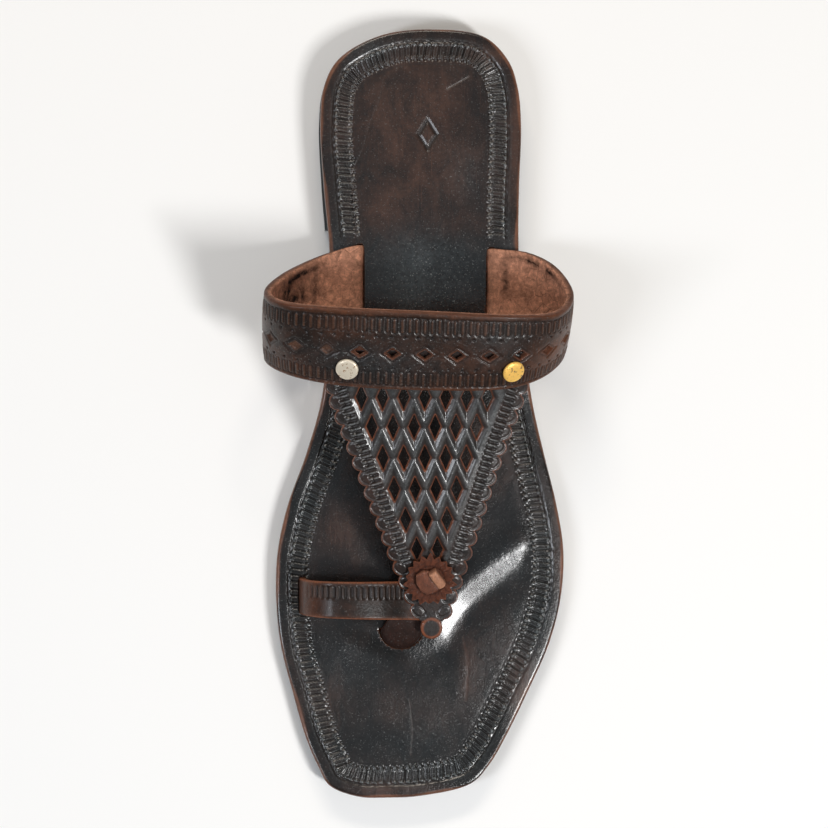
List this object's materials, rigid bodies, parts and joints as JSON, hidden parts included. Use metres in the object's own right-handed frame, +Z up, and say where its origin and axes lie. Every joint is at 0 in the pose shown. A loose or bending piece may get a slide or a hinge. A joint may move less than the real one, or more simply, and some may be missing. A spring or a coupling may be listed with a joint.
{
  "type": "kolhapuri sandal",
  "caption": "Left flat leather sandal with a tooled top sole, ribbed rubber outsole and low heel, instep band, pierced pointed strap and toe loop.",
  "frame": {"origin": "on the floor under the middle of the sandal's bounding box", "axes": "+Y from heel to toe, +X towards the medial (big toe) side, +Z up from the floor"},
  "size_m": [0.1068, 0.27, 0.0657],
  "materials": {
    "top_leather": "dyed near black, burnished and polished, rubbed through to reddish brown",
    "sole_rubber": "matt moulded ribbed sheet",
    "strap_leather": "dyed near black over reddish brown, tooled and pierced, satin polish",
    "rosette_leather": "undyed reddish brown, pinked edge",
    "thong_leather": "undyed tan thong",
    "rivet_nickel": "worn nickel plate over brass",
    "rivet_brass": "bright stamped brass"
  },
  "bodies": {
    "root": {"topsole": "top_leather", "outsole": "sole_rubber", "heel_lift": "sole_rubber", "upper": "strap_leather", "rosette": "rosette_leather", "knot": "thong_leather", "rivet_medial": "rivet_nickel", "rivet_lateral": "rivet_brass"}
  },
  "joints": []
}
